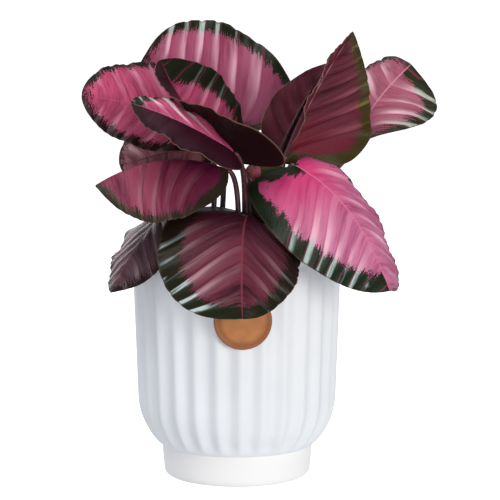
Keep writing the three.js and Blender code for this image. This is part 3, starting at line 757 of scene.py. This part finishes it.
def blade_points(leaf, number, u, t, pleats, veins):
    """The blade's surface in millimetres, and the share along it that counts its side veins. u runs from base
    to tip and t across. pleats is the depth of the folds between the side veins."""
    across = np.abs(t)
    s = np.minimum(1, u + SWEEP * u * (1 - u) * across ** ARCH)
    vein = s ** (1 + for_halves(leaf, t, "veins") * across ** ARCH)
    point, along = midrib_at(leaf, s)
    out = out_of(leaf, along)
    right = np.cross(along, out)
    share = outline_share(for_halves(leaf, t, "full", 0), for_halves(leaf, t, "full", 1), s)
    width = for_halves(leaf, t, "width") * share
    folds = [for_halves(leaf, t, "fold", k) for k in (0, 1)]
    fold = np.radians(folds[0] + (folds[1] - folds[0]) * s)
    curl = for_halves(leaf, t, "curl").astype(float)
    curl = np.radians(np.where(curl == 0, LEAST_CURL, curl))
    lean = fold + curl * across
    sideways = width * (np.sin(lean) - np.sin(fold)) / curl
    outwards = width * (np.cos(fold) - np.cos(lean)) / curl
    # Each leaf and each half has its waves at other places
    ripple = np.sin(2 * np.pi * (WAVES * s + 0.37 * number + 0.3 * (t > 0)))
    lift = leaf["wave"] * across ** 3 * share * ripple
    # Finer than in the solid: folds between the veins, flatter at the midrib, the margin and both ends
    from_vein = np.abs(np.sin(np.pi * veins * vein))
    fade = np.clip(across / 0.12, 0, 1) * (1 - 0.45 * across ** 2) * np.clip(share * 1.6, 0, 1)
    lift += pleats * fade * (from_vein ** 0.8 - 0.6)
    crimp = np.sin(2 * np.pi * (CRIMPS_A_VEIN * veins * vein + 0.21 * number + 0.4 * (t > 0)))
    lift += CRIMP * leaf["wave"] * across ** 7 * share * crimp
    # The midrib lies in a shallow groove
    groove = np.exp(-((across * width) / GROOVE_WIDTH) ** 2)
    lift -= GROOVE_DEPTH * groove * np.clip(share * 3, 0, 1) * (1 - 0.6 * s)
    place = point + right * (np.sign(t) * (sideways - lift * np.sin(lean)))[..., None]
    place += out * (outwards + lift * np.cos(lean))[..., None]
    place -= along * (for_halves(leaf, t, "lobe") * across * share * (1 - s) ** 5)[..., None]
    # The margin draws in a little at each side vein, more at one than at the next
    depth = NOTCH + NOTCH_CHANGE * np.sin(5.1 * veins * vein + number)
    inset = depth * across ** 6 * (1 - from_vein ** 0.5)
    return place + (point - place) * inset[..., None], vein


def count_veins(leaf, settings):
    """Side veins on each half, from the midrib's length and their spacing."""
    length = math.dist(leaf["base"], leaf["tip"]) * MM
    return max(3, round(length / settings.vein_spacing))


def make_blade(name, leaf, number, settings, materials):
    """A grid laid over the blade's surface, with the leaf's own map and looks, given its thickness."""
    deselect_all()
    bpy.ops.mesh.primitive_grid_add(x_subdivisions=ACROSS_STEPS, y_subdivisions=ALONG_STEPS, size=2)
    blade = bpy.context.active_object
    blade.name = name
    mesh = blade.data
    flat = np.zeros(len(mesh.vertices) * 3)
    mesh.vertices.foreach_get("co", flat)
    x, y = flat.reshape(-1, 3)[:, :2].T
    # Columns lie closer at the midrib, and rows at the base and the tip
    t = x * (1 - CROWDING * (1 - x ** 2))
    t[np.abs(x) < TINY] = 0
    u = (1 - np.cos(np.pi * (y + 1) / 2)) / 2
    places, vein = blade_points(leaf, number, u, t, settings.pleats / MM, count_veins(leaf, settings))
    mesh.vertices.foreach_set("co", (places * MM).ravel())
    corners = np.zeros(len(mesh.loops), np.int32)
    mesh.loops.foreach_get("vertex_index", corners)
    leaf_map = mesh.uv_layers.active or mesh.uv_layers.new()
    leaf_map.name = "leaf_map"
    leaf_map.data.foreach_set("uv", np.stack([(t[corners] + 1) / 2, vein[corners]], -1).ravel())
    rim = places[np.abs(t) > ON_RIM]
    from_rim = np.linalg.norm(places[:, None] - rim[None], axis=-1).min(1)
    looks = np.stack([
        for_halves(leaf, t, "bands").astype(float),
        from_rim - along_blade(leaf, t, u, "edge"),
        along_blade(leaf, t, u, "shade"),
    ], -1)
    attribute = mesh.attributes.new("looks", "FLOAT_VECTOR", "POINT")
    attribute.data.foreach_set("vector", looks.ravel())
    mesh.update()
    edit_all(blade)
    bpy.ops.mesh.remove_doubles(threshold=TINY)
    bpy.ops.object.mode_set(mode="OBJECT")
    for material in materials:
        mesh.materials.append(material)
    solidify = blade.modifiers.new("thickness", "SOLIDIFY")
    solidify.thickness = settings.thickness
    solidify.offset = 0
    solidify.use_even_offset = False
    solidify.material_offset = 1
    solidify.material_offset_rim = 1
    bpy.ops.object.modifier_apply(modifier=solidify.name)
    return blade


def keep_inside(obj, node):
    """Holds the outermost points, such as the crests of the fine folds, to the box of the piece's solid."""
    low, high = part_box(node)
    for vertex in obj.data.vertices:
        for axis in range(3):
            vertex.co[axis] = min(high[axis], max(low[axis], vertex.co[axis]))


def make_stalk(leaf):
    """The stalk as a tube along its own curve, running on under the blade as a tapering rib."""
    foot = np.array([*leaf["root"], SOIL_HEIGHT - STEM_SINK], float)
    ground = np.array([*leaf["root"], SOIL_HEIGHT + GROUND_RISE], float)
    base = np.array(leaf["base"], float)
    reach = np.linalg.norm(base - ground)
    _, first = midrib_at(leaf, 0.0)
    near = ground + [0, 0, reach * ROOT_REACH]
    neck = base - first * reach * NECK_REACH
    points = [foot]
    radii = [STALK_RADIUS]
    for k in range(STALK_STEPS):
        s = k / STALK_STEPS
        points.append(
            (1 - s) ** 3 * ground + 3 * s * (1 - s) ** 2 * near + 3 * s ** 2 * (1 - s) * neck + s ** 3 * base
        )
        radii.append(STALK_RADIUS + s * (NECK_RADIUS - STALK_RADIUS))
    for k in range(RIB_STEPS + 1):
        share = k / RIB_STEPS
        point, along = midrib_at(leaf, RIB_REACH * share)
        radius = NECK_RADIUS + share * (RIB_END_RADIUS - NECK_RADIUS)
        points.append(point - out_of(leaf, along) * (radius + RIB_GAP))
        radii.append(radius)
    deselect_all()
    bpy.ops.curve.primitive_nurbs_path_add()
    curve = bpy.context.active_object.data
    curve.splines.clear()
    spline = curve.splines.new("POLY")
    spline.points.add(len(points) - 1)
    for place, radius, point in zip(points, radii, spline.points):
        point.co = (*(place * MM), 1)
        point.radius = radius
    curve.dimensions = "3D"
    curve.bevel_depth = MM
    curve.bevel_resolution = STALK_ROUNDNESS
    curve.use_fill_caps = True
    bpy.ops.object.convert(target="MESH")
    stalk = bpy.context.active_object
    edit_all(stalk)
    bpy.ops.mesh.remove_doubles(threshold=TINY)
    bpy.ops.mesh.normals_make_consistent(inside=False)
    bpy.ops.object.mode_set(mode="OBJECT")
    return stalk


# Settings

class PotSettings(bpy.types.PropertyGroup):
    rim_radius: bpy.props.FloatProperty(
        name="Rim radius", description="Outer radius at the rim", unit="LENGTH",
        default=round(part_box("pot")[1].x, 4), min=0.02,
    )
    height: bpy.props.FloatProperty(
        name="Height", description="Height of the rim", unit="LENGTH", default=round(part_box("pot")[1].z, 4),
    )
    flutes: bpy.props.IntProperty(name="Flutes", description="Number of flutes round the pot", default=28)
    flute_depth: bpy.props.FloatProperty(
        name="Flute depth", description="From crest to groove", unit="LENGTH", default=0.0024,
    )
    glaze: bpy.props.FloatVectorProperty(
        name="Glaze", description="Colour of the glaze", subtype="COLOR", size=4, default=linear("#e2e5e8"),
    )


class SoilSettings(bpy.types.PropertyGroup):
    height: bpy.props.FloatProperty(
        name="Height", description="Mean height of the soil's surface", unit="LENGTH",
        default=SOIL_HEIGHT * MM,
    )
    radius: bpy.props.FloatProperty(
        name="Radius", description="Radius of the soil's surface", unit="LENGTH", default=0.0638,
    )
    bits: bpy.props.IntProperty(
        name="Loose bits", description="Number of loose bits of bark and perlite", default=420,
    )
    colour: bpy.props.FloatVectorProperty(
        name="Colour", description="Colour of the mix", subtype="COLOR", size=4, default=linear("#33241b"),
    )


class TagSettings(bpy.types.PropertyGroup):
    radius: bpy.props.FloatProperty(
        name="Radius", description="Radius of the disc", unit="LENGTH", default=0.0185,
    )
    thickness: bpy.props.FloatProperty(
        name="Thickness", description="Thickness of the leather", unit="LENGTH", default=0.0022,
    )
    height: bpy.props.FloatProperty(
        name="Height", description="Height of the disc's centre", unit="LENGTH", default=0.113,
    )
    turn: bpy.props.FloatProperty(
        name="Turn", description="How far round the pot the disc sits", subtype="ANGLE",
        default=math.radians(3.4),
    )
    colour: bpy.props.FloatVectorProperty(
        name="Leather", description="Colour of the leather", subtype="COLOR", size=4,
        default=linear("#b2713b"),
    )


class LeafSettings(bpy.types.PropertyGroup):
    thickness: bpy.props.FloatProperty(
        name="Thickness", description="Thickness of a blade", unit="LENGTH", default=0.0005,
    )
    pleats: bpy.props.FloatProperty(
        name="Pleats", description="Depth of the folds between the side veins", unit="LENGTH",
        default=0.0014,
    )
    vein_spacing: bpy.props.FloatProperty(
        name="Vein spacing", description="Between two side veins along the midrib", unit="LENGTH",
        default=0.014, min=0.004,
    )
    underside: bpy.props.FloatVectorProperty(
        name="Underside", description="Colour of the underside", subtype="COLOR", size=4,
        default=linear("#4a1b26"),
    )


class StageSettings(bpy.types.PropertyGroup):
    key_power: bpy.props.FloatProperty(
        name="Key light", description="Power of the large light at the right", unit="POWER", default=11.0,
    )
    fill_power: bpy.props.FloatProperty(
        name="Fill light", description="Power of the low light in front", unit="POWER", default=3.4,
    )
    top_power: bpy.props.FloatProperty(
        name="Top light", description="Power of the large light above", unit="POWER", default=11.0,
    )
    back_power: bpy.props.FloatProperty(
        name="Back light", description="Power of the light behind the object", unit="POWER", default=7.0,
    )
    surround: bpy.props.FloatProperty(
        name="Surround", description="Strength of the white surround as a light", default=0.44,
    )
    bounce: bpy.props.FloatProperty(
        name="Floor bounce", description="How much light the paper throws on the object", default=0.86,
    )
    glow: bpy.props.FloatProperty(
        name="Floor glow", description="How much the paper is lit from beyond the scene", default=0.75,
    )


# Operators

class CALATHEA_OT_pot(bpy.types.Operator):
    """Turn the pot from a ring, and press its flutes in"""

    bl_idname = "calathea.pot"
    bl_label = "Pot"

    def profile(self, rim, top):
        """Radius and height of each ring in millimetres, from under the foot to the rim and down inside."""
        turns = [step / FOOT_STEPS * math.pi / 2 for step in range(FOOT_STEPS + 1)]
        rings = [
            (FOOT_RADIUS - FOOT_EDGE * (1 - math.sin(turn)), FOOT_EDGE * (1 - math.cos(turn)))
            for turn in turns
        ]
        # The foot widens a little up to the step where the body begins
        rings += [(FOOT_RADIUS + 0.9, 15), (FOOT_RADIUS + 1.15, 20.2), (FOOT_RADIUS + 1.2, FOOT_TOP)]
        rings += [(50.0, FOOT_TOP + 0.1)]
        # The body's rings lie closest where it curves and where the flutes end
        heights = [21.4, 22.2, 23.2, 24.4, 26, 28, 30, 32.5, 35, 38, 41, 45, 49, 54, 62, 72, 84, 96, 108, 120]
        heights += [130, 138, top - 6.5, top - 5, top - 4, top - 3, top - 2.2, top - 1.4]
        rings += [(crest_radius(z, rim, top), z) for z in heights]
        # The rim is rounded over
        inner = rim - WALL
        rings += [(rim - 0.25, top - 0.7), (rim - 0.8, top - 0.2), (rim - 1.5, top)]
        rings += [(inner + 1.4, top), (inner + 0.6, top - 0.3), (inner + 0.1, top - 1), (inner, top - 2)]
        rings += [(crest_radius(z, rim, top) - WALL, z) for z in (135, 110, 80, BELLY_HEIGHT, 45, 36, 29)]
        rings += [(FOOT_RADIUS - WALL, FLOOR_HEIGHT + 2), (FOOT_RADIUS - WALL - 2, FLOOR_HEIGHT)]
        return rings

    def press_flutes(self, pot, settings, rim, top):
        """Weights each outside vertex by how deep its place lies in a groove, and pushes it in that far."""
        group = pot.vertex_groups.new(name="grooves")
        for vertex in pot.data.vertices:
            place = vertex.co / MM
            crest = crest_radius(max(place.z, FOOT_TOP), rim, top)
            if place.z < FOOT_TOP or math.hypot(place.x, place.y) < crest - WALL / 2:
                continue
            # They run out just over the foot and just under the rim
            share = smooth_share(place.z, FOOT_TOP + 0.5, FOOT_TOP + 8)
            share *= 1 - smooth_share(place.z, top - 5, top - 1.5)
            turn = math.atan2(place.x, -place.y) - FLUTE_TURN
            wave = (1 - math.cos(settings.flutes * turn)) / 2
            if share * wave > 0:
                group.add([vertex.index], share * wave ** FLUTE_WIDTH, "REPLACE")
        press = pot.modifiers.new("flutes", "DISPLACE")
        press.vertex_group = group.name
        press.mid_level = 0
        press.strength = -settings.flute_depth
        activate(pot)
        bpy.ops.object.modifier_apply(modifier=press.name)

    def execute(self, context):
        settings = context.scene.calathea_pot
        rim, top = settings.rim_radius / MM, settings.height / MM
        rings = self.profile(rim, top)
        deselect_all()
        bpy.ops.mesh.primitive_circle_add(
            vertices=settings.flutes * STEPS_PER_FLUTE, radius=rings[0][0] * MM, location=(0, 0, 0),
            rotation=(0, 0, FLUTE_TURN),
        )
        pot = context.active_object
        pot.name = "pot_fluted"
        bpy.ops.object.transform_apply(location=False, rotation=True, scale=False)
        edit_all(pot)
        for (r, z), (next_r, next_z) in zip(rings, rings[1:]):
            bpy.ops.mesh.extrude_region_move(
                TRANSFORM_OT_translate={"value": (0, 0, (next_z - z) * MM)},
            )
            bpy.ops.transform.resize(
                value=(next_r / r, next_r / r, 1), center_override=(0, 0, next_z * MM),
            )
        # The floor of the inside, then the underside of the foot
        bpy.ops.mesh.edge_face_add()
        select_vertices(pot, lambda place: place.z < TINY)
        bpy.ops.mesh.edge_face_add()
        bpy.ops.mesh.select_all(action="SELECT")
        bpy.ops.mesh.normals_make_consistent(inside=False)
        bpy.ops.object.mode_set(mode="OBJECT")
        self.press_flutes(pot, settings, rim, top)
        bpy.ops.object.shade_smooth_by_angle(angle=math.radians(35))
        pot.data.materials.append(glazed_ceramic(settings.glaze, linear("#efeeed")))
        settle(pot, "pot")
        return {"FINISHED"}


class CALATHEA_OT_soil(bpy.types.Operator):
    """Lay the soil's surface and scatter loose bits on it"""

    bl_idname = "calathea.soil"
    bl_label = "Soil"

    def surface(self, x, y, settings):
        """Height of the soil, in broad and narrow lumps as its solid has it, in metres."""
        x, y = x / MM, y / MM
        broad = math.sin(x * 0.17 + 1.3) * math.cos(y * 0.15 - 0.4)
        narrow = math.sin(x * 0.43 - y * 0.31) * math.cos(y * 0.39 + 0.8)
        return settings.height + SOIL_LUMPS * MM * (0.6 * broad + 0.4 * narrow)

    def execute(self, context):
        settings = context.scene.calathea_soil
        radius = settings.radius
        chance = random.Random(11)
        deselect_all()
        bpy.ops.mesh.primitive_grid_add(
            x_subdivisions=SOIL_STEPS, y_subdivisions=SOIL_STEPS, size=2 * radius, location=(0, 0, 0),
        )
        soil = context.active_object
        soil.name = "soil_surface"
        bpy.ops.object.mode_set(mode="EDIT")
        select_vertices(soil, lambda place: math.hypot(place.x, place.y) > radius + 0.4 * MM)
        bpy.ops.mesh.delete(type="VERT")
        bpy.ops.mesh.select_all(action="SELECT")
        # A second layer makes a closed block of it
        bpy.ops.mesh.extrude_region_move(TRANSFORM_OT_translate={"value": (0, 0, SOIL_BLOCK * MM)})
        bpy.ops.object.mode_set(mode="OBJECT")
        for vertex in soil.data.vertices:
            reach = math.hypot(vertex.co.x, vertex.co.y)
            # The outermost vertices are drawn to the pot's wall
            if reach > radius - 0.9 * MM:
                vertex.co.x *= radius / reach
                vertex.co.y *= radius / reach
            if vertex.co.z > SOIL_BLOCK * MM / 2:
                clod = CLODS * MM * (chance.random() - 0.5)
                vertex.co.z = self.surface(vertex.co.x, vertex.co.y, settings) + clod
            else:
                vertex.co.z = settings.height - SOIL_BLOCK * MM
        edit_all(soil)
        bpy.ops.mesh.normals_make_consistent(inside=False)
        bpy.ops.object.mode_set(mode="OBJECT")
        bpy.ops.object.shade_smooth_by_angle(angle=math.radians(60))
        soil.data.materials.append(potting_mix(settings.colour))
        settle(soil, "soil")
        for name, share, shape, material in (
            ("soil_bark_bits", 0.5, (1.6, 1.0, 0.5),
             soil_bit("composted bark", "#2a1a11", "#5b3d28", 0.9, 1.43)),
            ("soil_perlite_bits", 0.15, (1.0, 0.85, 0.8),
             soil_bit("expanded perlite", "#b9b2a6", "#e6e2da", 0.85, 1.11)),
            ("soil_peat_bits", 0.35, (1.1, 1.0, 0.7),
             soil_bit("peat crumb", "#1d130d", "#3c2a1e", 0.95, 1.25)),
        ):
            self.scatter(name, int(settings.bits * share), shape, material, settings, chance)
        return {"FINISHED"}

    def scatter(self, name, count, shape, material, settings, chance):
        """Copies one bit over the soil, clear of the stalks, and joins the copies."""
        deselect_all()
        bpy.ops.mesh.primitive_ico_sphere_add(subdivisions=1, radius=BIT_RADIUS * MM, location=(0, 0, 0))
        bit = bpy.context.active_object
        bpy.ops.transform.resize(value=shape)
        bpy.ops.object.transform_apply(location=False, rotation=False, scale=True)
        edit_all(bit)
        bpy.ops.transform.vertex_random(offset=BIT_ROUGHNESS * MM, seed=4)
        bpy.ops.object.mode_set(mode="OBJECT")
        copies = []
        roots = [leaf["root"] for leaf in LEAVES.values()]
        while len(copies) < count:
            turn = chance.uniform(0, 2 * math.pi)
            reach = (settings.radius - 3 * MM) * math.sqrt(chance.random())
            x, y = reach * math.cos(turn), reach * math.sin(turn)
            size = chance.uniform(0.55, 1.45)
            if min(math.hypot(x / MM - a, y / MM - b) for a, b in roots) < STALK_CLEARANCE:
                continue
            # Each lies on the clods, turned and tilted its own way
            copy = bit.copy()
            copy.data = bit.data.copy()
            bpy.context.scene.collection.objects.link(copy)
            copy.data.transform(
                Matrix.Translation((x, y, self.surface(x, y, settings) + 0.3 * MM * size))
                @ Matrix.Rotation(chance.uniform(0, 6.28), 4, "Z")
                @ Matrix.Rotation(chance.uniform(-0.6, 0.6), 4, "X")
                @ Matrix.Scale(size, 4)
            )
            copies.append(copy)
        bpy.data.objects.remove(bit)
        bits = join(copies)
        bits.name = name
        bits.data.materials.append(material)
        settle(bits, "soil")


class CALATHEA_OT_tag(bpy.types.Operator):
    """Cut the leather disc, soften its edges and stamp a plain ring in it"""

    bl_idname = "calathea.tag"
    bl_label = "Leather tag"

    def execute(self, context):
        settings = context.scene.calathea_tag
        pot = context.scene.calathea_pot
        radius, thick = settings.radius, settings.thickness
        deselect_all()
        bpy.ops.mesh.primitive_cylinder_add(
            vertices=96, radius=radius, depth=thick, location=(0, 0, thick / 2),
        )
        tag = context.active_object
        tag.name = "leather_tag_disc"
        bpy.ops.object.transform_apply(location=True, rotation=False, scale=False)
        bpy.ops.object.mode_set(mode="EDIT")
        mesh = bmesh.from_edit_mesh(tag.data)
        for edge in mesh.edges:
            edge.select = abs(edge.verts[0].co.z - edge.verts[1].co.z) < TINY
        bmesh.update_edit_mesh(tag.data)
        bpy.ops.mesh.bevel(offset=TAG_BEVEL * MM, segments=4, profile=0.5, affect="EDGES")
        bpy.ops.mesh.select_all(action="DESELECT")
        mesh = bmesh.from_edit_mesh(tag.data)
        for face in mesh.faces:
            face.select = face.normal.z > 0.99 and len(face.verts) > 8
        bmesh.update_edit_mesh(tag.data)
        for inset, lift in TAG_RINGS:
            bpy.ops.mesh.inset(thickness=inset * MM)
            bpy.ops.transform.translate(value=(0, 0, lift * MM))
        bpy.ops.object.mode_set(mode="OBJECT")
        bpy.ops.object.shade_smooth_by_angle(angle=math.radians(50))
        self.brown_the_edge(tag, radius / MM, thick / MM)
        rim, top = pot.rim_radius / MM, pot.height / MM
        seat = crest_radius(settings.height / MM, rim, top) + TAG_GAP
        flare = math.atan2(rim - BELLY_RADIUS, top - BELLY_HEIGHT)
        tag.data.transform(
            Matrix.Rotation(settings.turn, 4, "Z")
            @ Matrix.Translation((0, -seat * MM, settings.height))
            @ Matrix.Rotation(math.pi / 2 + flare, 4, "X")
        )
        tag.data.materials.append(vegetable_tanned_leather(settings.colour, linear("#7d4520")))
        settle(tag, "leather_tag")
        return {"FINISHED"}

    def brown_the_edge(self, tag, radius, thick):
        """An attribute that is 1 on the cut edge, less in the stamped ring and 0 elsewhere."""
        values = []
        for vertex in tag.data.vertices:
            place = vertex.co / MM
            inwards = radius - math.hypot(place.x, place.y)
            edge = 1 - smooth_share(inwards, *BURNISHED)
            in_ring = STAMPED[0] < inwards < STAMPED[1] and place.z > thick / 2
            values.append(max(edge, STAMPED_TONE if in_ring else 0.0))
        attribute = tag.data.attributes.new("burnish", "FLOAT", "POINT")
        attribute.data.foreach_set("value", values)


class CALATHEA_OT_leaves(bpy.types.Operator):
    """Grow the leaves, each one blade with its stalk"""

    bl_idname = "calathea.leaves"
    bl_label = "Leaves"

    def execute(self, context):
        settings = context.scene.calathea_leaves
        stalk_material = leaf_stalk()
        underside = under_leaf(settings.underside, seed=3, veins=7)
        for number, (name, leaf) in enumerate(LEAVES.items()):
            upper = upper_leaf(name.replace("_", " "), leaf, number, count_veins(leaf, settings))
            blade = make_blade(name + "_blade", leaf, number, settings, (upper, underside))
            stalk = make_stalk(leaf)
            stalk.data.materials.append(stalk_material)
            grown = join([blade, stalk])
            bpy.ops.object.shade_smooth_by_angle(angle=math.radians(50))
            keep_inside(grown, name)
            settle(grown, name)
        return {"FINISHED"}


class CALATHEA_OT_stage(bpy.types.Operator):
    """Set up the camera, the lights and the white paper"""

    bl_idname = "calathea.stage"
    bl_label = "Stage"

    def surround(self, strength):
        """A white world, plain to the camera and weaker as a light."""
        world = bpy.data.worlds.new("white surround")
        world.use_nodes = True
        tree = world.node_tree
        tree.nodes.clear()
        ray = add_node(tree, "ShaderNodeLightPath")
        lit = add_node(tree, "ShaderNodeBackground", {"Color": linear("#f2f6ff"), "Strength": strength})
        seen = add_node(tree, "ShaderNodeBackground", {"Color": (1, 1, 1, 1), "Strength": 1.0})
        both = add_node(tree, "ShaderNodeMixShader", {0: ray.outputs["Is Camera Ray"], 1: lit, 2: seen})
        add_node(tree, "ShaderNodeOutputWorld", {"Surface": both})
        return world

    def execute(self, context):
        settings = context.scene.calathea_stage
        scene = context.scene
        deselect_all()
        bpy.ops.object.camera_add(
            location=CAMERA_PLACE, rotation=(math.radians(90 - CAMERA_PITCH), 0, 0),
        )
        scene.camera = context.active_object
        camera = scene.camera.data
        camera.lens = CAMERA_LENS
        camera.sensor_width = 36
        camera.clip_start = 0.05
        camera.clip_end = 100
        scene.view_settings.view_transform = "Standard"
        bpy.ops.mesh.primitive_plane_add(size=60, location=(0, 0, -0.2 * MM))
        floor = context.active_object
        floor.name = "studio_floor"
        floor.data.materials.append(studio_white(settings.glow, settings.bounce))
        # Each light's place, the height on the object's axis that it is aimed at, its size, power and colour
        for name, place, aim, size, power, tint in (
            ("key_light", (0.85, -1.25, 0.35), 0.15, (0.7, 0.6), settings.key_power, "#fffaf4"),
            ("fill_light", (-0.1, -1.7, 0.1), 0.16, (0.9, 0.5), settings.fill_power, "#ffffff"),
            ("top_light", (-0.35, -0.35, 1.3), 0.22, (0.8, 0.8), settings.top_power, "#ffffff"),
            ("back_light", (-0.7, 1.4, 0.5), 0.15, (0.8, 0.8), settings.back_power, "#ffffff"),
        ):
            deselect_all()
            bpy.ops.object.light_add(type="AREA", location=place)
            lamp = context.active_object
            lamp.name = name
            lamp.rotation_euler = (Vector((0, 0, aim)) - Vector(place)).to_track_quat("-Z", "Y").to_euler()
            lamp.data.shape = "RECTANGLE"
            lamp.data.size, lamp.data.size_y = size
            lamp.data.energy = power
            lamp.data.color = linear(tint)[:3]
        scene.world = self.surround(settings.surround)
        return {"FINISHED"}


class CALATHEA_PT_panel(bpy.types.Panel):
    """Settings and steps of the potted calathea"""

    bl_label = "Potted calathea"
    bl_idname = "CALATHEA_PT_panel"
    bl_space_type = "VIEW_3D"
    bl_region_type = "UI"
    bl_category = "Calathea"

    def draw(self, context):
        for name, group, operator in STEPS:
            box = self.layout.box()
            settings = getattr(context.scene, group)
            for key in settings.__annotations__:
                box.prop(settings, key)
            box.operator(operator, text=name)


STEPS = [
    ("Stage", "calathea_stage", "calathea.stage"),
    ("Pot", "calathea_pot", "calathea.pot"),
    ("Soil", "calathea_soil", "calathea.soil"),
    ("Leather tag", "calathea_tag", "calathea.tag"),
    ("Leaves", "calathea_leaves", "calathea.leaves"),
]
GROUPS = {
    "calathea_stage": StageSettings,
    "calathea_pot": PotSettings,
    "calathea_soil": SoilSettings,
    "calathea_tag": TagSettings,
    "calathea_leaves": LeafSettings,
}
CLASSES = [
    *GROUPS.values(),
    CALATHEA_OT_stage,
    CALATHEA_OT_pot,
    CALATHEA_OT_soil,
    CALATHEA_OT_tag,
    CALATHEA_OT_leaves,
    CALATHEA_PT_panel,
]


def register():
    for cls in CLASSES:
        bpy.utils.register_class(cls)
    for name, group in GROUPS.items():
        setattr(bpy.types.Scene, name, bpy.props.PointerProperty(type=group))


def unregister():
    for name in GROUPS:
        delattr(bpy.types.Scene, name)
    for cls in reversed(CLASSES):
        bpy.utils.unregister_class(cls)


def main():
    register()
    bpy.ops.calathea.stage()
    bpy.ops.calathea.pot()
    bpy.ops.calathea.soil()
    bpy.ops.calathea.tag()
    bpy.ops.calathea.leaves()


if __name__ == "__main__":
    main()
